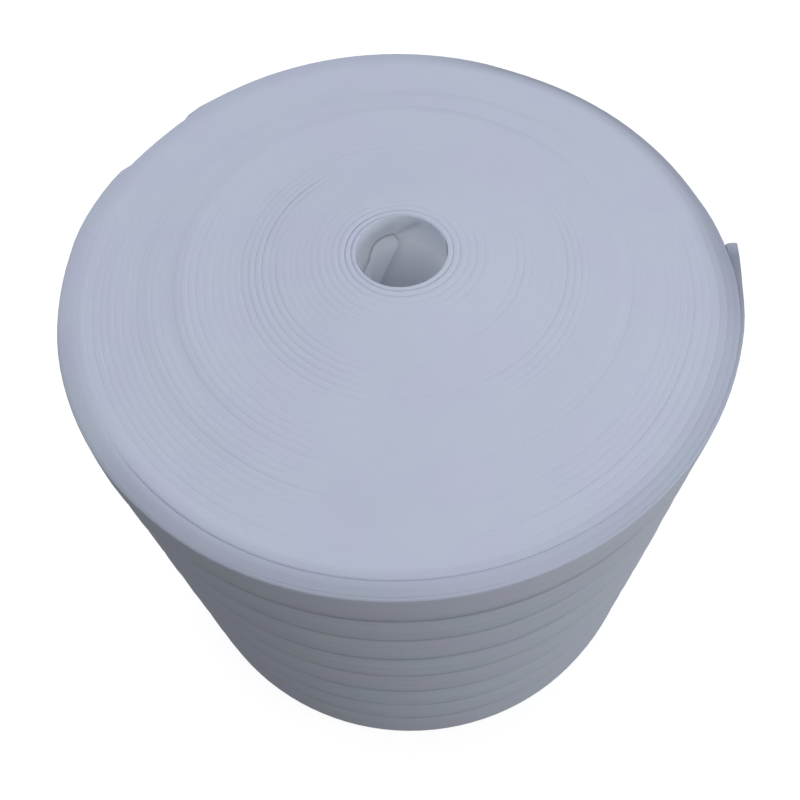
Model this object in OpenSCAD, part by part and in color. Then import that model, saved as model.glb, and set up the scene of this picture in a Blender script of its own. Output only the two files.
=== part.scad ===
// Roll of foam wrap sheet, wound without a core and standing on its end.
// The sheet is as wide as the roll is tall, and its turns follow a spiral of half-turn arcs.
// Origin: on the winding axis, at the face that the roll stands on. Units: millimetres.

/* [Roll] */
// Diameter over the outermost turn
roll_d = 530; // [460:5:620]
// Width of the foam sheet, which is the height of the outermost turn
roll_h = 457; // [360:1:600]
// Thickness that one turn adds
sheet_t = 5.5; // [4.5:0.1:8]
// Diameter of the hole that the winding mandrel leaves
hole_d = 70; // [60:1:90]
// Amount by which the mouth of the hole is wider than the hole
mouth_flare = 4; // [1:0.5:8]

/* [Side ribs] */
// Ribs across the width of the sheet
rib_count = 8; // [5:1:10]
// Height of each rib over the height of the rib above it
rib_growth = 1.04; // [1.01:0.01:1.08]
// Depth of the creases between the ribs
rib_depth = 3; // [1:0.1:4]

/* [End faces] */
// Rise of the innermost turn over the outermost one
crown_h = 28; // [12:1:40]
// Width of the level band of outer turns
rim_w = 17; // [12:1:40]
// Radius within which the turns have slipped up by one more step
slip_r = 183; // [120:1:200]
// Height of that step
slip_h = 3; // [0.5:0.1:6]
// Width of the seam between two turns, where it meets the end face
seam_w = 1.2; // [0.6:0.1:2]
// Depth of the seam
seam_d = 2.4; // [1:0.1:4]

/* [Loose outer end] */
// Direction of the outer end, seen from above
end_angle = 2.3; // [0:0.1:10]
// Arc over which the outer end has come away from the roll
peel_angle = 16; // [10:1:30]
// Radius that the outer end has sprung out to
peel_r = 800; // [400:10:1200]

/* [Dent in the top edge] */
// Direction where the dent begins
dent_angle = 133; // [60:1:135]
// Arc that the dent takes
dent_span = 19; // [8:1:24]
// Depth of the dent, down the outermost turn
dent_d = 8; // [3:0.5:14]

/* [Inner end] */
// Direction of the free edge in the hole
lip_angle = 105; // [90:1:150]
// Arc of the layer that stands off the wall of the hole
lip_span = 145; // [100:1:150]
// Thickness of that layer at its thickest
lip_t = 6; // [3:0.5:8]
// Depth of its upper edge under the mouth of the hole
lip_drop = 20; // [12:1:40]
// Length of the layer down the hole
lip_h = 90; // [40:5:140]

/* [Hidden] */
$fn = 96;

foam = [0.76, 0.79, 0.85];
roll_r = roll_d / 2;
hole_r = hole_d / 2;
mouth_r = hole_r + mouth_flare / 2;
mouth_z = roll_h + crown_h;
lip_foot = mouth_z - lip_drop - lip_h;

// Direction in which the outer end starts to come away, where the spiral's last half-turn ends
start_angle = end_angle - peel_angle;
// The spiral's two centres stand a quarter of a turn's thickness to either side of the axis.
shift = sheet_t / 4;
back_r = roll_r - shift;
front_r = roll_r + shift;

// Segments that draw the bulge of one rib, and how far its outer edge is drawn in at the end faces
rib_steps = 6;
edge_in = 1;
// Depth to which the loose end starts inside the turn that it comes away from
root = 0.75;

// Rib heights form a geometric series that fills the width of the sheet.
first_rib = roll_h * (rib_growth - 1) / (pow(rib_growth, rib_count) - 1);
function rib_top(i) = roll_h - first_rib * (pow(rib_growth, i) - 1) / (rib_growth - 1);

// How far the ribbed side is drawn in, at share t down rib i, to a hundredth of a millimetre
function sunk(i, t) =
  let (at_edge = (i == 0 && t < 0.5) || (i == rib_count - 1 && t > 0.5))
  round(100 * (at_edge ? edge_in : rib_depth) * pow(2 * t - 1, 2)) / 100;

// Ribbed side at outer radius r, from the top edge to the foot
function side(r) = concat(
  [[r - edge_in, roll_h - seam_d]],
  [
    for (i = [0 : rib_count - 1], s = [0 : rib_steps - 1])
      let (t = s / rib_steps)
      if (i + s > 0) [r - sunk(i, t), rib_top(i) + t * (rib_top(i + 1) - rib_top(i))]
  ],
  [[r - edge_in, seam_d]]
);

// Rise of turn n, where 0 is the outermost: none at the rim, and all of the crown at the hole
function rise(n) =
  let (r = roll_r - (n + 0.5) * sheet_t, inner = roll_r - rim_w)
  (crown_h - slip_h) * max(0, min(1, (inner - r) / (inner - mouth_r))) + (r < slip_r ? slip_h : 0);

// Seams that fit between the mouth of the hole and outer radius r
function seam_count(r) = floor((r - shift - seam_w - mouth_r) / sheet_t);

// End face drawn inwards from outer radius r at height z, where up is 1 on top and -1 underneath.
// Each turn is level and stands a little higher than the turn around it.
function end_face(r, z, up) = concat(
  [[r - edge_in - seam_w / 2, z + rise(0)]],
  [
    for (k = [1 : seam_count(r)])
      let (
        at = r - k * sheet_t,
        outer = z + rise(k - 1),
        inner = z + rise(k),
        deep = up > 0 ? outer - seam_d : inner + seam_d
      )
      each [[at + seam_w / 2, outer], [at, deep], [at - seam_w / 2, inner]]
  ],
  [[hole_r / 2, z + rise(seam_count(r))]]
);

function backwards(list) = [for (i = [len(list) - 1 : -1 : 0]) list[i]];

// Half of the roll about one of the spiral's centres
module half_roll(r) {
  rotate_extrude(angle = 180)
    polygon(concat(side(r), end_face(r, 0, -1), backwards(end_face(r, roll_h, 1))));
}

// Section of a single turn of outer radius r, which reaches inwards into the turn under it
module turn_section(r) {
  inner = r - sheet_t;
  polygon(concat(
    side(r),
    [
      [r - edge_in - seam_w / 2, 0],
      [inner + seam_w / 2, 0],
      [inner, seam_d],
      [inner - root, seam_d + root],
      [inner - root, roll_h - seam_d - root],
      [inner, roll_h - seam_d],
      [inner + seam_w / 2, roll_h],
      [r - edge_in - seam_w / 2, roll_h]
    ]
  ));
}

module back_half() {
  translate([-shift, 0, 0])
    half_roll(back_r);
}

module front_half() {
  translate([shift, 0, 0])
    rotate(180)
      half_roll(front_r);
}

// Outer end of the sheet: it leaves the front half along a flatter arc, over the back half
module loose_end() {
  translate([shift + front_r - peel_r, 0, 0])
    rotate_extrude(angle = peel_angle * front_r / peel_r)
      turn_section(peel_r);
}

// Cut that lowers the top edge of the outermost turn
module dent() {
  translate([-shift, 0, 0])
    rotate(dent_angle - start_angle)
      rotate_extrude(angle = dent_span)
        translate([back_r - sheet_t, roll_h - dent_d])
          square([2 * sheet_t, 2 * dent_d]);
}

// Hole along the axis, which flares from the foot of the inner lip up to its mouth
module hole() {
  translate([0, 0, -1])
    cylinder(r = hole_r, h = mouth_z + 2);
  translate([0, 0, lip_foot])
    cylinder(r1 = hole_r, r2 = mouth_r, h = mouth_z - lip_foot + 1);
}

// Inner end of the sheet: it stands off the wall at its free edge and closes on the wall further round
module inner_lip() {
  lip_r = hole_r - lip_t / 2;
  rotate(lip_angle + 180)
    translate([lip_t / 2, 0, lip_foot])
      rotate(180)
        rotate_extrude(angle = lip_span)
          translate([lip_r, 0])
            square([2 * lip_t, lip_h]);
}

module foam_roll() {
  color(foam) {
    difference() {
      rotate(start_angle)
        union() {
          back_half();
          front_half();
          loose_end();
        }
      rotate(start_angle)
        dent();
      hole();
    }
    inner_lip();
  }
}

foam_roll();
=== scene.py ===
import math
from functools import partial

import bpy
from mathutils import Matrix, Vector


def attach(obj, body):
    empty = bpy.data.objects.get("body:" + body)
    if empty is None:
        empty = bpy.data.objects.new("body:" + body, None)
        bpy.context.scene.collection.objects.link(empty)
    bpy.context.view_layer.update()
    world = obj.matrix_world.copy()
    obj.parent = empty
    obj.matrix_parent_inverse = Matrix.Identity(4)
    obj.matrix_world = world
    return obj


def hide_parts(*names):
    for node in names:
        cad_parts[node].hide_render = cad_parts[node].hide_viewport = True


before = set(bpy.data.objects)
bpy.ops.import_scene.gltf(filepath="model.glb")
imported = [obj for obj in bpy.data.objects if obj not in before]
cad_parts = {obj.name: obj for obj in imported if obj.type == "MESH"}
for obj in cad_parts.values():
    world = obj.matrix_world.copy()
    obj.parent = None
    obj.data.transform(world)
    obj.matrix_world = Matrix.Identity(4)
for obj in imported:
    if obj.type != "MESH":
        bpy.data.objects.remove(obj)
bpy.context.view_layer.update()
mm = 0.001

# Camera, as fitted to the photograph: it looks down at the top face from the front
cameraView = {"place": (-3.1, -436.5, 999.8), "lookDown": 59.4, "roll": -3.77, "lens": 39.07}


def addCamera(view):
    camera = bpy.data.objects.new("camera", bpy.data.cameras.new("camera"))
    camera.data.lens = view["lens"]
    camera.data.sensor_width = 36
    camera.data.clip_end = 50
    tilt = Matrix.Rotation(math.radians(90 - view["lookDown"]), 4, "X")
    roll = Matrix.Rotation(math.radians(view["roll"]), 4, "Z")
    camera.matrix_world = Matrix.Translation(Vector(view["place"]) * mm) @ tilt @ roll
    bpy.context.collection.objects.link(camera)
    bpy.context.scene.camera = camera


addCamera(cameraView)
bpy.context.scene.view_settings.view_transform = "Standard"
print("camera placed")


def toLinear(hexColour):
    parts = [int(hexColour[i:i + 2], 16) / 255 for i in (1, 3, 5)]
    return tuple(c / 12.92 if c <= 0.04045 else ((c + 0.055) / 1.055) ** 2.4 for c in parts) + (1.0,)


# "Math ADD" is a Math node set to ADD. An input is a number, a socket, or a node's first output.
# A sum or a product of more than two values takes them one after another.
def addNode(tree, kind, *inputs, named=None, points=None, **settings):
    if kind in ("Math ADD", "Math MULTIPLY") and len(inputs) > 2:
        inputs = addNode(tree, kind, *inputs[:-1]), inputs[-1]
    name, _, operation = kind.partition(" ")
    families = ("ShaderNode", "GeometryNode", "FunctionNode", "")
    node = tree.nodes.new(next(f for f in families if hasattr(bpy.types, f + name)) + name)
    if operation:
        node.operation = operation
    for key, value in settings.items():
        setattr(node, key, value)
    for key, value in [*enumerate(inputs), *(named or {}).items()]:
        if isinstance(value, bpy.types.Node):
            value = value.outputs[0]
        if isinstance(value, bpy.types.NodeSocket):
            tree.links.new(value, node.inputs[key])
        elif value is not None:
            node.inputs[key].default_value = value
    if points:
        curve = node.mapping.curves[0]
        curve.points[0].location, curve.points[-1].location = points[0], points[-1]
        for place in points[1:-1]:
            curve.points.new(*place)
        for point in curve.points:
            point.handle_type = "AUTO_CLAMPED"
        node.mapping.update()
    return node


def startTree(name, inputs, outputs):
    tree = bpy.data.node_groups.new(name, "GeometryNodeTree")
    kinds = {float: "NodeSocketFloat", int: "NodeSocketInt"}
    for key, value in inputs.items():
        kind = kinds.get(type(value), value if isinstance(value, str) else None)
        socket = tree.interface.new_socket(key, in_out="INPUT", socket_type=kind)
        if type(value) in kinds:
            socket.default_value = value
    for key, kind in outputs.items():
        tree.interface.new_socket(key, in_out="OUTPUT", socket_type=kind)
    return tree, tree.nodes.new("NodeGroupInput").outputs, tree.nodes.new("NodeGroupOutput").inputs


# The wound sheet. A place on it is a turn (0 at the inner end), a share across its thickness
# (-0.5 inside, 0.5 outside) and a share down its width (0 at the top edge, 1 at the foot).
# Lengths are in mm and angles in degrees, seen from above.
roll = {
    "stepsPerTurn": 120, "steps": 5130,         # 42.75 turns
    "outerRadius": 268.0, "turnThickness": 5.5, "sheetWidth": 457.0, "faceRadius": 265.0,
    "endAngle": 2.3,                            # where the outer end stands
    "looseSteps": 6, "looseLift": 6.4, "looseSwell": 5.1,   # the last 18 degrees have come away
    "acrossRows": 6, "ribRows": 12, "holeRows": 44,         # rows of the patches
    "ribs": 8, "ribGrowth": 1.04, "ribDepth": 3.0, "edgeIn": 1.0,
    "crown": 28.0, "seam": 0.7, "jitter": 0.7, "seed": 7.3,
    "mouthSeam": 4.0, "rimSeam": 1.2,           # depth of the seams there
    "unevenness": 2.5, "unevenPatch": 95,       # of the face, and how broad its patches are
    "sag": 4.5, "fall": 8.0,                    # of the rim, at its outermost
    "shiftRight": 10.0, "ringOut": 3.8,         # of the turns at the top
    "curveRange": 20.0,                         # a whole of the curves that leave things unmoved at 0.5
    "slip": 45.0,                               # of the inner end, down the hole
    "dentAngle": 133, "dentSpan": 19, "dentDepth": 8.0,
    "shoulder": 2.5,                            # from the top edge down to where the side begins
    "sharpAngle": .6, "mergeDistance": .02,     # radians, mm
}
turns = roll["steps"] / roll["stepsPerTurn"]
# Where the outermost turn rounds over into the side, and where the loose end begins
rimTurns = (turns - .15, turns - .05)
looseTurns = (turns - roll["looseSteps"] / roll["stepsPerTurn"], turns)
# Across the sheet, from here on a point lies on its face, where two turns meet
atFace = .4999
# How loosely the turns lie, along the radius of the top face: to the left, and to the right
looseLeft = [(0, .6), (.15, .6), (.23, .65), (.29, .35), (.35, .25), (.38, .8), (.42, .95), (.46, 1),
             (.495, .5), (.52, .25), (.58, .3), (.64, .6), (.67, .5), (.71, .4), (.76, .45), (.82, .3),
             (.88, .4), (.94, .25), (1, .15)]
looseRight = [(0, .6), (.15, .6), (.23, .7), (.27, .3), (.30, .2), (.33, .6), (.36, .55), (.39, .15),
              (.44, .2), (.47, .6), (.50, .75), (.53, .6), (.56, .1), (.63, .1), (.66, .35), (.69, .2),
              (.75, .2), (.81, .4), (.90, .55), (.96, .5), (1, .2)]
# Over a full circle, from the right-hand side and round by the back: how far the left-hand curve counts,
# and how much of the looseness shows, inside and outside the middle of the face
leftShare = [(0, 0), (.12, 0), (.30, .8), (.40, 1), (.68, 1), (.80, .4), (.88, 0), (1, 0)]
innerQuiet = [(0, .75), (.08, .5), (.16, .2), (.26, .25), (.34, .6), (.40, 1), (.5, 1), (.6, .9),
              (.67, .5), (.76, .22), (.84, .4), (.92, .6), (1, .75)]
outerQuiet = [(0, .4), (.05, .15), (.09, .1), (.20, .06), (.36, .08), (.43, .4), (.5, .9), (.6, 1),
              (.68, .6), (.75, .25), (.82, .5), (.92, .7), (1, .4)]
# Rise of the face towards the hole without its two steps, as shares of the crown. Then the steps, around
# the circle: where their foot lies, and how much of them shows.
crownShape = [(0, .90), (.11, .90), (.17, .875), (.34, .63), (.511, .39), (.665, .285), (.70, .265),
              (.78, .155), (.86, .06), (.935, 0), (1, 0)]
bigStepRadius = [(0, .677), (.14, .680), (.21, .686), (.27, .690), (.31, .687), (.36, .682), (.46, .680),
                 (.55, .680), (.67, .678), (.83, .660), (.92, .665), (1, .675)]
bigStepShare = [(0, .85), (.1, .9), (.33, .85), (.42, 1), (.55, .9), (.62, .5), (.70, .2), (.8, .08),
                (.92, .25), (1, .85)]
smallStepRadius = [(0, .772), (.30, .776), (.45, .766), (.55, .763), (.70, .770), (1, .772)]
smallStepShare = [(0, .6), (.1, 1), (.33, 1), (.5, .7), (.65, .3), (.75, .1), (.9, .1), (1, .6)]
# How far the innermost turns have slipped down the hole, over the first two turns, as shares of the slip
slipShape = [(0, .58), (.010, .44), (.036, .47), (.056, .62), (.067, .85), (.10, .95), (.25, .92),
             (.32, .60), (.37, .15), (.40, 0), (1, 0)]
# Where the rim sags at the back right, and where it is rounded off
rimSagShare = [(0, 0), (.008, .05), (.03, .65), (.055, 1), (.14, 1), (.19, .55), (.24, .2), (.30, .05),
               (.34, 0), (1, 0)]
rimFallShare = [(0, .1), (.008, .12), (.03, .5), (.055, .7), (.16, .65), (.21, .35), (.3, .2), (.42, .35),
                (.54, .45), (.67, .35), (.86, .3), (.93, .3), (.965, .2), (1, .05)]
# The soft roll spreads at its top: how far at the rim (0.5 is none, a whole is 20 mm)
rimFlare = [(0, .60), (.02, .64), (.03, .70), (.083, .72), (.111, .75), (.139, .79), (.167, .82),
            (.194, .85), (.222, .88), (.25, .92), (.28, .96), (.306, .97), (.345, .95), (.361, 1),
            (.39, .94), (.417, .97), (.444, .98), (.472, .87), (.5, .76), (.53, .69), (.556, .60),
            (.6, .49), (.65, .41), (.75, .38), (.85, .40), (.917, .46), (.944, .53), (.972, .60), (1, .60)]
# How far the inner turns have moved to the right at the top, and the outer ones outwards, as shares
innerShift = [(0, .5), (.13, .5), (.25, .65), (.45, .8), (.6, .5), (.7, .3), (.9, .05), (1, 0)]
ringShift = [(0, 0), (.86, 0), (.945, 1), (1, 0)]
ringShiftShare = [(0, .5), (.06, 0), (.5, 0), (.617, .5), (.75, .85), (.93, 1), (1, .5)]
# Turns around the mouth of the hole, over the first ten turns (0.5 is unmoved, a whole is 20 mm)
mouthShape = [(0, .79), (.01, .78), (.02, .765), (.05, .70), (.075, .66), (.1, .615), (.12, .562),
              (.175, .45), (.2, .4315), (.3, .3965), (.4, .3865), (.5, .3965), (.6, .4215), (.7, .4465),
              (.8, .4715), (.9, .4865), (1, .5)]
# How much painted shade darkens the outer turns where they round over, around the circle
rimPaintedShade = [(0, 1), (.03, 1), (.10, 1.05), (.17, 1), (.2, .7), (.25, .35), (.3, .3), (.5, .3), (.53, .5),
            (.58, .55), (.62, .85), (.70, .85), (.8, .5), (.92, .5), (.97, .8), (1, 1)]
# Depth of the seams around the mouth, over the first six turns, as shares
mouthSeams = [(0, .2), (.1, .2), (.16, 1), (.22, 1), (.29, .3), (.5, .22), (.92, 0), (1, 0)]
# What keeps the bore clear below: the layers around it are pressed outwards or inwards, over six turns
boreShape = [(0, .60), (.1667, .60), (.3333, .385), (.5, .435), (.6667, .475), (.8333, .5), (1, .5)]
# The two steps of the face: where the foot lies, how much of the step shows, its height in mm, and its
# width as a share of the radius
faceSteps = [(bigStepRadius, bigStepShare, 3.2, .045), (smallStepRadius, smallStepShare, 1.2, .03)]


# Share of a full circle at which a turn stands
def addShare(add, turn):
    wholeTurns = 64    # more than the roll has, so that the sum is never negative
    return add("Math FRACT", add("Math ADD", turn, wholeTurns - turns + roll["endAngle"] / 360))


# Radius at a place counted in turns from the sheet's inner face, or from its middle if half is 0.5
def addRadius(add, place, half=0.0):
    return add("Math MULTIPLY_ADD", place, roll["turnThickness"],
               roll["outerRadius"] - roll["turnThickness"] * (turns + 1 - half))


def buildLooseness():
    tree, given, made = startTree(
        "Looseness", {"Radius": .5, "Share": .0}, {"Looseness": "NodeSocketFloat"})
    add = partial(addNode, tree)
    left, right = [add("FloatCurve", 1.0, given["Radius"], points=p) for p in (looseLeft, looseRight)]
    side, quietInside, quietOutside = [add("FloatCurve", 1.0, given["Share"], points=p)
                                       for p in (leftShare, innerQuiet, outerQuiet)]
    outside = add("MapRange", given["Radius"], .52, .56, 0.0, 1.0)
    quiet = add("Mix", outside, None, quietInside, quietOutside)
    both = add("Mix", side, None, right, left)
    tree.links.new(add("Math MULTIPLY", both, quiet).outputs[0], made[0])
    return tree


# Height of one turn over its neighbours, and how far it has slipped down at the top
def buildTurnEdge(looseness):
    tree, given, made = startTree(
        "Turn edge", {"Turn": 1.0, "Seed": 1.0}, {"Lift": "NodeSocketFloat", "Loss": "NodeSocketFloat"})
    add = partial(addNode, tree)
    turn = given["Turn"]
    radius = add("Math DIVIDE", addRadius(add, turn, .5), roll["faceRadius"])
    loose = add("GeometryNodeGroup", radius, addShare(add, turn), node_tree=looseness)
    noise = add("TexNoise", named={"W": add("Math MULTIPLY_ADD", turn, 2.0, given["Seed"]),
                                   "Scale": 1.0, "Detail": 1.0}, noise_dimensions="1D")
    lift = add("Math MULTIPLY", add("Math MULTIPLY_ADD", noise, 2 * roll["jitter"], -roll["jitter"]), loose)
    slip = add("Math MULTIPLY", roll["slip"],
               add("FloatCurve", 1.0, add("Math DIVIDE", turn, 2.0), points=slipShape))
    # the dent in the outermost turn: it drops over 3 degrees and rises again over 6
    dentFrom = turns - 1 + (roll["dentAngle"] - roll["endAngle"]) / 360
    dentTo = dentFrom + roll["dentSpan"] / 360
    dent = add("Math MULTIPLY",
               add("MapRange", turn, dentFrom - .006, dentFrom + .002, 0.0, roll["dentDepth"]),
               add("MapRange", turn, dentTo - .022, dentTo - .006, 1.0, 0.0))
    tree.links.new(lift.outputs[0], made["Lift"])
    tree.links.new(add("Math ADD", slip, dent).outputs[0], made["Loss"])
    return tree


# Controls that every group passes down
sizes = {"Sheet width": roll["sheetWidth"], "Crown": roll["crown"],
         "Seam": roll["seam"], "Seed": roll["seed"]}


# The crease at the front left, by turns: where it opens and fades, what is left of it, and where it ends
crease = {"opens": (40.33, 40.365), "fades": (40.40, 40.65), "rest": .12, "ends": 41.2, "depth": 1.15}
# The turns beyond the crease lean outwards: over which turns, by how much, and where around the circle
lean = {"after": 40.2, "turns": (40.4, 43.3), "height": .8, "starts": (.57, .62), "ends": (.70, .85)}


# Top and bottom edge of the sheet at a place in the roll. Both turns that meet at a seam have to get
# the same heights there, or the face tears open.
def buildEdgeHeights(looseness, turnEdge):
    tree, given, made = startTree(
        "Edge heights", {"Turn": 1.0, "Across": .0, "First": .0, **sizes},
        {"Top": "NodeSocketFloat", "Bottom": "NodeSocketFloat"})
    add = partial(addNode, tree)
    ease = partial(add, "MapRange", interpolation_type="SMOOTHSTEP")
    turn, across = given["Turn"], given["Across"]
    place = add("Math ADD", turn, across, .5)    # turns from the inner face
    share = addShare(add, turn)
    mmRadius = addRadius(add, place)
    radius = add("Math DIVIDE", mmRadius, roll["faceRadius"])
    loose = add("GeometryNodeGroup", radius, share, node_tree=looseness)

    # a step rounds over and is steepest at its foot; where it is weak the face rises slowly instead
    broad = add("Math MULTIPLY", add("FloatCurve", 1.0, radius, points=crownShape), given["Crown"])
    slow = ease(radius, .40, .92, 1.0, 0.0)
    for where, howMuch, height, width in faceSteps:
        foot = add("FloatCurve", 1.0, share, points=where)
        amount = add("Math MULTIPLY", add("FloatCurve", 1.0, share, points=howMuch), height)
        falling = add("MapRange", radius, add("Math SUBTRACT", foot, width), foot, 0.0, 1.0)
        down = add("Math POWER", falling, 2.0)
        broad = add("Math ADD", broad, add("Math MULTIPLY", add("Math SUBTRACT", 1.0, down), amount),
                    add("Math MULTIPLY", slow, add("Math SUBTRACT", height, amount)))
    angle = add("Math MULTIPLY", share, 2 * math.pi)
    spot = add("CombineXYZ", add("Math MULTIPLY", add("Math COSINE", angle), mmRadius),
               add("Math MULTIPLY", add("Math SINE", angle), mmRadius), given["Seed"])
    blotch = add("TexNoise", named={"Vector": spot, "Scale": 1 / roll["unevenPatch"], "Detail": 2.0,
                                    "Roughness": .45})
    wave = add("Math MULTIPLY_ADD", blotch, 2 * roll["unevenness"], -roll["unevenness"])
    broad = add("Math ADD", broad, add("Math MULTIPLY", wave, ease(radius, .80, .95, 1.0, 0.0)))

    # seams: each turn's edge is rounded, and the slit between two turns is deeper where they lie loosely
    nearSeam = add("Math ADD", turn, add("Math GREATER_THAN", across, 0.0))
    mouth = add("FloatCurve", 1.0, add("MapRange", nearSeam, 0.0, 6.0, 0.0, 1.0), points=mouthSeams)
    depth = add("Math ADD", add("Math MULTIPLY", loose, given["Seam"]),
                add("Math MULTIPLY", mouth, roll["mouthSeam"]))
    creased = add("Math MULTIPLY", add("MapRange", nearSeam, *crease["opens"], 0.0, 1.0),
                  add("MapRange", nearSeam, *crease["fades"], 1.0, crease["rest"]),
                  add("Math LESS_THAN", nearSeam, crease["ends"]))
    depth = add("Math MULTIPLY_ADD", creased, crease["depth"], depth)
    rim = add("MapRange", place, *rimTurns, 0.0, 1.0)
    depth = add("Math MAXIMUM", depth, add("Math MULTIPLY", rim, roll["rimSeam"]))
    edge = add("Math POWER", add("Math MULTIPLY", add("Math ABSOLUTE", across), 2.0), 3.0)
    rounding = add("Math MULTIPLY", edge, depth, .8)
    atSeam = add("Math GREATER_THAN", add("Math ABSOLUTE", across), atFace)

    # a seam lies under the lower of its two turns, and the first and last turn have one neighbour
    before = add("Math SUBTRACT", place, 1.0)
    noBefore = add("Math LESS_THAN", before, add("Math SUBTRACT", given["First"], .0001))
    noAfter = add("Math GREATER_THAN", place, turns + .0001)
    insideTurn = add("Mix", noBefore, None, before, place)
    outsideTurn = add("Mix", noAfter, None, place, before)
    here, inside, outside = [add("GeometryNodeGroup", t, given["Seed"], node_tree=turnEdge)
                             for t in (turn, insideTurn, outsideTurn)]
    high = [add("Math SUBTRACT", e.outputs["Lift"], e.outputs["Loss"]) for e in (here, inside, outside)]
    seamTop = add("Math SUBTRACT", add("Math MINIMUM", high[1], high[2]), depth)
    top = add("Mix", atSeam, None, add("Math SUBTRACT", high[0], rounding), seamTop)
    higher = add("Math MAXIMUM", inside.outputs["Lift"], outside.outputs["Lift"])
    seamBottom = add("Math ADD", higher, depth)
    bottom = add("Mix", atSeam, None, add("Math ADD", here.outputs["Lift"], rounding), seamBottom)

    # the outermost turns sag at the back right, and are rounded off
    sag = add("Math MULTIPLY", add("FloatCurve", 1.0, share, points=rimSagShare),
              add("MapRange", radius, .95, 1.0, 0.0, roll["sag"]))
    fall = add("Math MULTIPLY", add("Math POWER", add("MapRange", radius, .912, 1.011, 0.0, 1.0), 2.0),
               roll["fall"], add("FloatCurve", 1.0, share, points=rimFallShare))
    # beyond the front-left crease they lean outwards, but not at the crease itself, where two turns meet
    meets = add("Math MULTIPLY", add("Math LESS_THAN", across, -atFace),
                add("Math LESS_THAN", turn, crease["ends"]))
    leaning = add("Math MULTIPLY", add("MapRange", place, *lean["turns"], lean["height"], 0.0),
                  add("MapRange", share, *lean["starts"], 0.0, 1.0),
                  add("MapRange", share, *lean["ends"], 1.0, 0.0),
                  add("Math GREATER_THAN", turn, lean["after"]), add("Math SUBTRACT", 1.0, meets))
    topHeight = add("Math SUBTRACT", add("Math ADD", given["Sheet width"], broad, top),
                    add("Math ADD", sag, fall))
    tree.links.new(add("Math ADD", topHeight, leaning).outputs[0], made["Top"])
    tree.links.new(add("Math MAXIMUM", add("Math ADD", broad, bottom), 0.0).outputs[0], made["Bottom"])
    return tree


# Where a place on the sheet stands, in metres. Bore 1 is the layer further out that the lower part
# of the hole is lined with, and Layer adds it to the foot.
def buildSheetPoint(edgeHeights):
    tree, given, made = startTree(
        "Sheet point",
        {"Turn": 1.0, "Across": .0, "Down": .0, "Bore": .0, "Layer": .0,
         "Wall": .0, "Sink": .0, "Aside": .0, **sizes},
        {"Position": "NodeSocketVector"})
    add = partial(addNode, tree)
    ease = partial(add, "MapRange", interpolation_type="SMOOTHSTEP")
    turn, across, down = given["Turn"], given["Across"], given["Down"]
    turnThere = add("Math ADD", turn, given["Bore"])
    place = add("Math ADD", turnThere, across, .5)
    mouth = add("FloatCurve", 1.0, add("MapRange", place, 0.0, 10.0, 0.0, 1.0), points=mouthShape)
    lining = add("FloatCurve", 1.0, add("MapRange", place, 0.0, 6.0, 0.0, 1.0), points=boreShape)
    press = add("Mix", given["Bore"], None, mouth, lining)
    pressed = add("Math MULTIPLY_ADD", press, roll["curveRange"], -roll["curveRange"] / 2)
    radius = add("Math ADD", addRadius(add, place), pressed)
    # the loose end springs out, and swells to the thickness it has when nothing presses it
    away = add("MapRange", turnThere, *looseTurns, 0.0, 1.0)
    spring = add("Math MULTIPLY_ADD", across, roll["looseSwell"],
                 roll["looseLift"] - roll["looseSwell"] / 2)
    radius = add("Math MULTIPLY_ADD", add("Math POWER", away, 2.0), spring, radius)
    rim = add("MapRange", place, *rimTurns, 0.0, roll["edgeIn"])
    radius = add("Math SUBTRACT", radius, add("Mix", given["Wall"], None, rim, given["Sink"]))

    controls = [given[k] for k in sizes]
    top = add("GeometryNodeGroup", turn, across, 0.0, *controls, node_tree=edgeHeights)
    turnBelow = add("Math ADD", turn, given["Layer"])
    bottom = add("GeometryNodeGroup", turnBelow, across, given["Layer"], *controls, node_tree=edgeHeights)
    # on the side a dent in the top edge reaches down to the first crease alone
    shoulder = add("Math SUBTRACT", given["Sheet width"], roll["shoulder"])
    level = add("Mix", down, None, shoulder, bottom.outputs["Bottom"])
    dip = add("Math MULTIPLY", add("Math SUBTRACT", top.outputs["Top"], shoulder),
              add("MapRange", down, 0.0, .1, 1.0, 0.0))
    height = add("Mix", down, None, top.outputs["Top"], bottom.outputs["Bottom"])
    height = add("Mix", given["Layer"], None, add("Math ADD", level, dip), height)

    # at the top the roll spreads, its outer turns most, and the turns inside it stand a little to the right
    share = addShare(add, turn)
    angle = add("Math MULTIPLY_ADD", share, 2 * math.pi, given["Aside"])
    upper = ease(height, 260.0, 450.0, 0.0, 1.0)
    nearTop = ease(height, 330.0, 440.0, 0.0, 1.0)
    outness = add("MapRange", radius, 0.0, roll["outerRadius"], 0.0, 1.0)
    flare = add("Math MULTIPLY_ADD", add("FloatCurve", 1.0, share, points=rimFlare),
                roll["curveRange"], -roll["curveRange"] / 2)
    flare = add("Math MULTIPLY", flare, add("Math POWER", outness, 4.0), upper)
    ring = add("Math MULTIPLY", add("FloatCurve", 1.0, outness, points=ringShift),
               add("FloatCurve", 1.0, share, points=ringShiftShare), roll["ringOut"], nearTop)
    shiftX = add("Math MULTIPLY", add("FloatCurve", 1.0, outness, points=innerShift),
                 roll["shiftRight"], nearTop)
    radius = add("Math ADD", radius, add("Math ADD", flare, ring))
    x = add("Math MULTIPLY_ADD", add("Math COSINE", angle), radius, shiftX)
    y = add("Math MULTIPLY", add("Math SINE", angle), radius)
    point = add("VectorMath SCALE", add("CombineXYZ", x, y, height), named={"Scale": mm})
    tree.links.new(point.outputs[0], made[0])
    return tree


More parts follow.
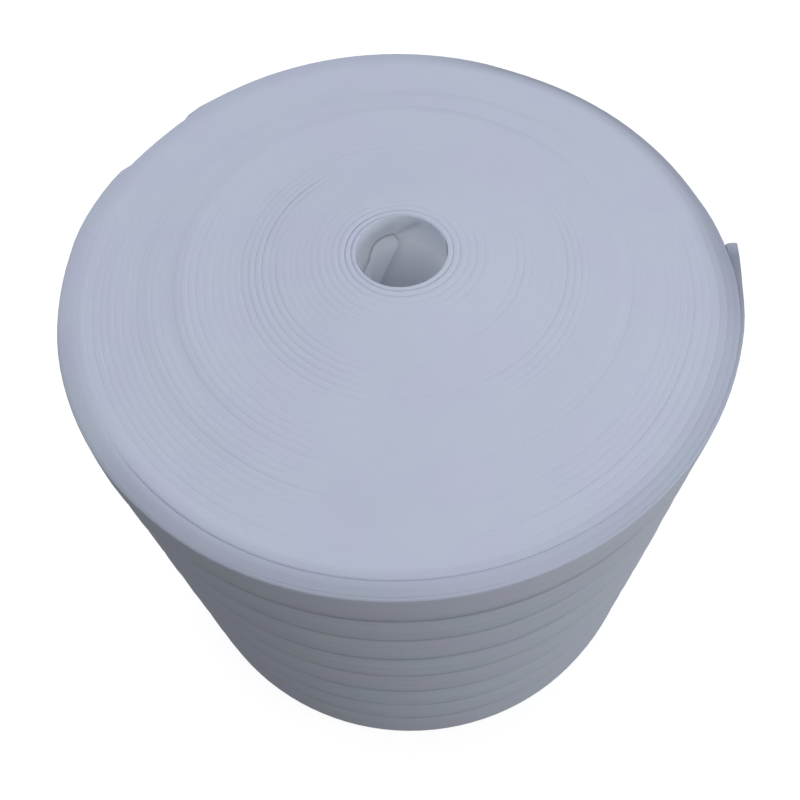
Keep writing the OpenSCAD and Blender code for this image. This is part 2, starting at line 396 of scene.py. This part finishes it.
# Flat grid for a patch of the sheet, and the number of each point's column and row
def addGrid(add, columns, rows):
    grid = add("MeshGrid", 1.0, 1.0, columns + 1, rows + 1)
    split = add("SeparateXYZ", grid.outputs["UV Map"])
    column = add("Math ROUND", add("Math MULTIPLY", split.outputs["X"], float(columns)))
    row = add("Math ROUND", add("Math MULTIPLY", split.outputs["Y"], float(rows)))
    return grid.outputs["Mesh"], column, row


# Points across a turn stand closest at its two seams
def spreadAcross(add, row):
    a = add("Math MULTIPLY_ADD", row, 2.0 / roll["acrossRows"], -1.0)
    left = add("Math SUBTRACT", 1.0, add("Math ABSOLUTE", a))
    curve = add("Math SUBTRACT", .5, add("Math MULTIPLY", add("Math POWER", left, 1.7), .5))
    return add("Math MULTIPLY", curve, add("Math SIGN", a))


# Upper and lower half of a rib: how sharply it bulges, and how soon the painted shade of the crease fades
ribs = {"bulge": (2.0, 2.4), "greyFade": (60.0, 3.4), "greyFull": .62, "grey": .55,
        "waver": .8, "waversAround": 4.0, "waversDown": 26.0}


# Rows down the side stand closest at the creases, and the ribs grow a little towards the foot
def spreadRibs(add, row, turn, ribDepth):
    rows, count, growth = roll["ribRows"], roll["ribs"], roll["ribGrowth"]
    rib = add("Math FLOOR", add("Math MULTIPLY_ADD", row, 1 / rows, .0001))
    part = add("Math SUBTRACT", add("Math DIVIDE", row, float(rows)), rib)
    eased = add("Math MULTIPLY_ADD", add("Math COSINE", add("Math MULTIPLY", part, math.pi)), -.5, .5)
    along = add("Math ADD", rib, eased)
    down = add("Math DIVIDE", add("Math SUBTRACT", add("Math POWER", growth, along), 1.0),
               growth ** count - 1)
    # the bulge, which is shallower at the two edges of the sheet, and the painted shade that darkens the
    # creases
    fromMiddle = add("Math ABSOLUTE", add("Math MULTIPLY_ADD", eased, 2.0, -1.0))
    inner = add("Math MULTIPLY", add("Math GREATER_THAN", along, .5),
                add("Math LESS_THAN", along, count - .5))
    lower = add("Math GREATER_THAN", eased, .5)
    bulge = add("Math MULTIPLY", add("Math POWER", fromMiddle, add("Mix", lower, None, *ribs["bulge"])),
                add("Mix", inner, None, roll["edgeIn"], ribDepth))
    grey = add("Math POWER", fromMiddle, add("Mix", lower, None, *ribs["greyFade"]))
    grey = add("Math MULTIPLY", add("MapRange", grey, 0.0, ribs["greyFull"], 0.0, ribs["grey"]), inner)
    # the waver, which stops short of the sheet's edges
    angle = add("Math MULTIPLY", turn, 2 * math.pi)
    spot = add("CombineXYZ", add("Math MULTIPLY", add("Math COSINE", angle), ribs["waversAround"]),
               add("Math MULTIPLY", add("Math SINE", angle), ribs["waversAround"]),
               add("Math MULTIPLY", down, ribs["waversDown"]))
    noise = add("TexNoise", named={"Vector": spot, "Scale": 1.0, "Detail": 2.0})
    clear = add("Math MULTIPLY", add("MapRange", down, 0.0, .03, 0.0, 1.0),
                add("MapRange", down, .97, 1.0, 1.0, 0.0))
    waver = add("Math MULTIPLY", add("Math MULTIPLY_ADD", noise, 2 * ribs["waver"], -ribs["waver"]), clear)
    return down, add("Math ADD", bulge, waver), grey


# The hole, by height: where its lining begins, and how the free edge of the inner layer slants
hole = {"crowding": 1.6, "depth": 470.0, "lining": (335.0, 395.0), "slant": 42, "slantReach": .2,
        "slantTop": (400.0, 463.0), "slantFoot": (290.0, 385.0)}
# Painted shade: a dark line along the edge of that layer, and darker grey behind it, over the last part of
# the first turn
holeGrey = {"top": 485.0, "depth": 460.0, "line": (486.0, 466.0), "lineTurns": (.905, 1.0),
            "lineFade": (.90, .93), "width": 6.0, "grey": .34, "behindTurns": (.94, 1.0), "behindGrey": .4}


# Rows down the hole stand closest at its mouth, and near its free edge the inner layer slants
def spreadHole(add, row, turn):
    ease = partial(add, "MapRange", interpolation_type="SMOOTHSTEP")
    down = add("Math POWER", add("Math DIVIDE", row, float(roll["holeRows"])), hole["crowding"])
    height = add("Math MULTIPLY_ADD", down, -hole["depth"], hole["depth"])
    bore = ease(height, *hole["lining"], 1.0, 0.0)
    near = add("Math MINIMUM", turn, add("Math SUBTRACT", 1.0, turn))
    slant = add("Math SUBTRACT", add("MapRange", height, *hole["slantTop"], 1.0, 0.0),
                ease(height, *hole["slantFoot"], 1.0, 0.0))
    aside = add("Math MULTIPLY", slant, add("MapRange", near, 0.0, hole["slantReach"], 1.0, 0.0),
                math.radians(hole["slant"]))
    # painted shade along the top edge of the inner layer, and behind it
    trueHeight = add("Math MULTIPLY_ADD", down, -holeGrey["depth"], holeGrey["top"])
    line = add("MapRange", turn, *holeGrey["lineTurns"], *holeGrey["line"])
    fromLine = add("Math ABSOLUTE", add("Math SUBTRACT", trueHeight, line))
    onLine = add("Math MULTIPLY", add("MapRange", fromLine, 0.0, holeGrey["width"], holeGrey["grey"], 0.0),
                 add("MapRange", turn, *holeGrey["lineFade"], 0.0, 1.0))
    behind = add("Math MULTIPLY",
                 add("MapRange", turn, *holeGrey["behindTurns"], 0.0, holeGrey["behindGrey"]),
                 add("Math LESS_THAN", trueHeight, holeGrey["line"][1]))
    return down, bore, aside, add("Math MAXIMUM", onLine, behind)


# Painted shade on the top edge: in the hole, on the outer turns where they round over, and at the tip of
# the loose end
topGrey = {"holeTurns": (.60, .80), "hole": .45, "rimTurns": (39.0, 41.6), "rim": .47,
           "tipTurns": .12, "tip": .3}


def buildRollTree():
    looseness = buildLooseness()
    sheetPoint = buildSheetPoint(buildEdgeHeights(looseness, buildTurnEdge(looseness)))
    tree, given, made = startTree(
        "Wound foam sheet",
        {"Geometry": "NodeSocketGeometry", **sizes, "Rib depth": roll["ribDepth"],
         "Foam": "NodeSocketMaterial"},
        {"Geometry": "NodeSocketGeometry"})
    add = partial(addNode, tree)
    steps, perTurn, looseSteps = roll["steps"], roll["stepsPerTurn"], roll["looseSteps"]
    thick, sideRows = roll["acrossRows"], roll["ribs"] * roll["ribRows"]
    patches = []

    def toTurn(column):
        return add("Math DIVIDE", column, float(perTurn))

    # moves a grid to its place on the sheet, and keeps its painted shade as an attribute
    def layPatch(mesh, flip, grey=0.0, **place):
        named = {k.capitalize(): v for k, v in place.items()} | {k: given[k] for k in sizes}
        point = add("GeometryNodeGroup", named=named, node_tree=sheetPoint)
        moved = add("SetPosition", mesh, None, point)
        moved = add("StoreNamedAttribute", moved, named={"Name": "paintedShade", "Value": grey})
        patches.append(add("FlipFaces", moved) if flip else moved)

    # top edge of every turn
    mesh, column, row = addGrid(add, steps, thick)
    turn = toTurn(column)
    # painted shade on the top edge of the slipped layer in the hole
    inHole = add("MapRange", turn, *topGrey["holeTurns"], topGrey["hole"], 0.0)
    # painted shade on the outer turns, where they round over
    rimShade = add("Math MULTIPLY", add("FloatCurve", 1.0, addShare(add, turn), points=rimPaintedShade),
                  add("MapRange", add("Math MULTIPLY_ADD", row, 1 / thick, turn), *topGrey["rimTurns"],
                      0.0, topGrey["rim"]))
    # painted shade at the tip of the loose end, by the shadowed gap behind it
    tip = add("MapRange", turn, turns - topGrey["tipTurns"], turns, 0.0, topGrey["tip"])
    grey = add("Math ADD", rimShade, tip, inHole)
    layPatch(mesh, True, grey, turn=turn, across=spreadAcross(add, row), down=0.0)
    # bottom edge, without the layer that ends above it in the hole
    mesh, column, row = addGrid(add, steps - perTurn, thick)
    layPatch(mesh, False, turn=toTurn(column), across=spreadAcross(add, row), down=1.0, bore=1.0, layer=1.0)
    # ribbed side, and the back of the loose end
    for columns, across, flip in ((perTurn + looseSteps, .5, True), (looseSteps, -.5, False)):
        mesh, column, row = addGrid(add, columns, sideRows)
        turn = toTurn(add("Math ADD", column, float(steps - columns)))
        down, sink, grey = spreadRibs(add, row, turn, given["Rib depth"])
        layPatch(mesh, flip, grey, turn=turn, across=across, down=down, wall=1.0, sink=sink)
    # cut face of the outer end
    mesh, column, row = addGrid(add, thick, sideRows)
    down, sink, _ = spreadRibs(add, row, turns, given["Rib depth"])
    layPatch(mesh, False, turn=turns, across=spreadAcross(add, column), down=down, wall=1.0, sink=sink)
    # wall of the hole, and the cut face of the inner end
    mesh, column, row = addGrid(add, perTurn, roll["holeRows"])
    turn = toTurn(column)
    down, bore, aside, grey = spreadHole(add, row, turn)
    layPatch(mesh, False, grey, turn=turn, across=-.5, down=down, bore=bore, layer=1.0, wall=1.0,
             aside=aside)
    mesh, column, row = addGrid(add, thick, roll["holeRows"])
    down, bore, aside, _ = spreadHole(add, row, 0.0)
    layPatch(mesh, True, turn=0.0, across=spreadAcross(add, column), down=down, bore=bore, layer=1.0,
             wall=1.0, aside=aside)

    join = add("JoinGeometry")
    for patch in reversed(patches):
        tree.links.new(patch.outputs[0], join.inputs[0])
    merged = add("MergeByDistance", join, named={"Distance": roll["mergeDistance"] * mm})
    smooth = add("SetShadeSmooth", merged)
    flat = add("Math LESS_THAN", add("InputMeshEdgeAngle"), roll["sharpAngle"])
    crisp = add("SetShadeSmooth", smooth, domain="EDGE", named={"Shade Smooth": flat})
    real = add("RealizeInstances", crisp)
    done = add("SetMaterial", real, named={"Material": given["Foam"]})
    tree.links.new(done.outputs[0], made[0])
    return tree


# Expanded polyethylene foam: a milky, bluish white with a dull, faintly waxy skin and fine closed cells
def makeFoam():
    material = bpy.data.materials.new("expandedPolyethyleneFoam")
    material.use_nodes = True
    tree = material.node_tree
    shader = tree.nodes["Principled BSDF"]
    add = partial(addNode, tree)
    place = add("TexCoord").outputs["Object"]    # metres
    drift = add("TexNoise", named={"Vector": place, "Scale": 15.0, "Detail": 2.0, "Roughness": .5})
    hue = add("MapRange", drift, .36, .64, 0.0, 1.0, interpolation_type="SMOOTHSTEP")
    colour = add("Mix", hue, data_type="RGBA",
                 named={6: toLinear("#c5ced9"), 7: toLinear("#c7cbdb")})
    # whiter in the hole: painted light, for the light that the foam passes on into the hole
    split = add("SeparateXYZ", place)
    outwards = add("VectorMath LENGTH", add("VectorMath MULTIPLY", place, (1, 1, 0)))
    paintedHoleLight = add("Math MULTIPLY", add("MapRange", outwards.outputs["Value"], .037, .043, 1.0, 0.0),
                add("MapRange", split.outputs["Z"], .455, .482, 1.0, 0.0))
    colour = add("Mix", paintedHoleLight, data_type="RGBA", named={6: colour.outputs[2], 7: toLinear("#eceff5")})
    # greyer where painted shade is stored: in the creases, in the hole, on the outer turns and at the tip
    # of the loose end
    grey = add("Attribute", attribute_name="paintedShade").outputs["Fac"]
    colour = add("Mix", grey, data_type="RGBA", named={6: colour.outputs[2], 7: toLinear("#767b87")})
    # fine streaks along the sheet, about 2.4 mm apart, on the side alone: painted shade, as fine ridges
    # would cast
    along = add("TexNoise", named={"Vector": add("VectorMath MULTIPLY", place, (5, 5, 420)),
                                   "Scale": 1.0, "Detail": 1.0})
    onSide = add("Math MULTIPLY", add("MapRange", outwards.outputs["Value"], .252, .258, 0.0, 1.0),
                 add("MapRange", split.outputs["Z"], .430, .450, 1.0, 0.0))
    streak = add("Math MULTIPLY", add("MapRange", along, .35, .65, 0.0, .10), onSide)
    colour = add("Mix", streak, data_type="RGBA", named={6: colour.outputs[2], 7: toLinear("#8b909c")})
    tree.links.new(colour.outputs[2], shader.inputs["Base Color"])
    shader.inputs["Roughness"].default_value = .8
    shader.inputs["Specular IOR Level"].default_value = .15
    shader.inputs["IOR"].default_value = 1.48
    # closed cells about 1.6 mm across, at the coarse end of such foam, so that they show at all
    cells = add("TexNoise", named={"Vector": place, "Scale": 620.0, "Detail": 2.0, "Roughness": .6})
    bump = add("Bump", named={"Height": cells, "Strength": .25, "Distance": .0004})
    tree.links.new(bump.outputs[0], shader.inputs["Normal"])
    return material


def makeRoll():
    tree = buildRollTree()
    piece = bpy.data.objects.new("foamRoll", bpy.data.meshes.new("foamRoll"))
    bpy.context.collection.objects.link(piece)
    modifier = piece.modifiers.new("winding", "NODES")
    modifier.node_group = tree
    sockets = {s.name: s.identifier for s in tree.interface.items_tree if s.in_out == "INPUT"}
    modifier[sockets["Foam"]] = makeFoam()
    bpy.context.view_layer.update()
    evaluated = piece.evaluated_get(bpy.context.evaluated_depsgraph_get())
    wound = bpy.data.meshes.new_from_object(evaluated)
    piece.modifiers.remove(modifier)
    piece.data = wound
    wound.name = "foamRoll"
    return piece


foamRoll = makeRoll()
triangles = sum(len(p.vertices) - 2 for p in foamRoll.data.polygons)
print("roll wound:", len(foamRoll.data.vertices), "points,", triangles, "triangles")
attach(foamRoll, "root")
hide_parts("foam_roll")


# 1 to the camera and in reflections, and 0 to the light that falls on the object
def addSeen(add):
    path = add("LightPath")
    return add("Math MAXIMUM", path.outputs["Is Camera Ray"],
               add("Math MAXIMUM", path.outputs["Is Glossy Ray"], path.outputs["Is Transmission Ray"]))


# Plain pale floor: it is white to the camera and keeps a faint shadow
def addFloor():
    bpy.ops.mesh.primitive_plane_add(size=30)
    floor = bpy.context.object
    floor.name = "floor"
    material = bpy.data.materials.new("paleFloor")
    material.use_nodes = True
    tree = material.node_tree
    tree.nodes.clear()
    add = partial(addNode, tree)
    seen = addSeen(add)
    shade = add("Mix", seen, data_type="RGBA", named={6: toLinear("#626264"), 7: toLinear("#a2a2a2")})
    matt = add("BsdfDiffuse", shade.outputs[2])
    # from 0.9 to 3.5 m away it fades into the white around it
    away = add("VectorMath LENGTH", add("TexCoord").outputs["Object"]).outputs["Value"]
    fade = add("MapRange", away, .9, 3.5, .83, 1.0)
    glow = add("Emission", (1, 1, 1, 1), add("Math MULTIPLY", seen, fade))
    both = add("AddShader", matt, glow)
    add("OutputMaterial", both)
    floor.data.materials.append(material)


def addLight(name, kind, energy, colour, place):
    light = bpy.data.objects.new(name, bpy.data.lights.new(name, kind))
    light.data.energy = energy
    light.data.color = toLinear(colour)[:3]
    light.visible_camera = False
    light.matrix_world = place
    bpy.context.collection.objects.link(light)
    return light.data


# Rectangle of light that faces a target on the axis, from a distance in metres
def addSoftLight(name, size, energy, azimuth, elevation, distance, colour="#ffffff", target=.4):
    a, e = math.radians(azimuth), math.radians(elevation)
    offset = Vector((math.cos(a) * math.cos(e), math.sin(a) * math.cos(e), math.sin(e))) * distance
    turned = offset.to_track_quat("Z", "Y").to_matrix().to_4x4()
    place = Matrix.Translation(Vector((0, 0, target)) + offset) @ turned
    lamp = addLight(name, "AREA", energy, colour, place)
    lamp.shape = "RECTANGLE"
    lamp.size, lamp.size_y = size


# Stands for the light that the foam itself passes on into the hole
def addHoleLight(energy, radius, height):
    lamp = addLight("inTheHole", "POINT", energy, "#ffffff", Matrix.Translation((0, 0, height)))
    lamp.shadow_soft_size = radius


def addWorld(strength):
    world = bpy.data.worlds.new("studio")
    bpy.context.scene.world = world
    world.use_nodes = True
    tree = world.node_tree
    tree.nodes.clear()
    add = partial(addNode, tree)
    seen = addSeen(add)
    level = add("MapRange", seen, 0.0, 1.0, strength, 1.0)
    add("OutputWorld", add("Background", (1, 1, 1, 1), level))


addFloor()
addWorld(strength=.27)
addSoftLight("overhead", (2.0, 2.0), energy=43, azimuth=130, elevation=80, distance=2.6, colour="#f0f3ff")
addSoftLight("side", (2.2, .4), energy=22, azimuth=323, elevation=14, distance=2.6, target=.2)
addHoleLight(energy=.008, radius=.015, height=.472)
print("floor and lights placed")
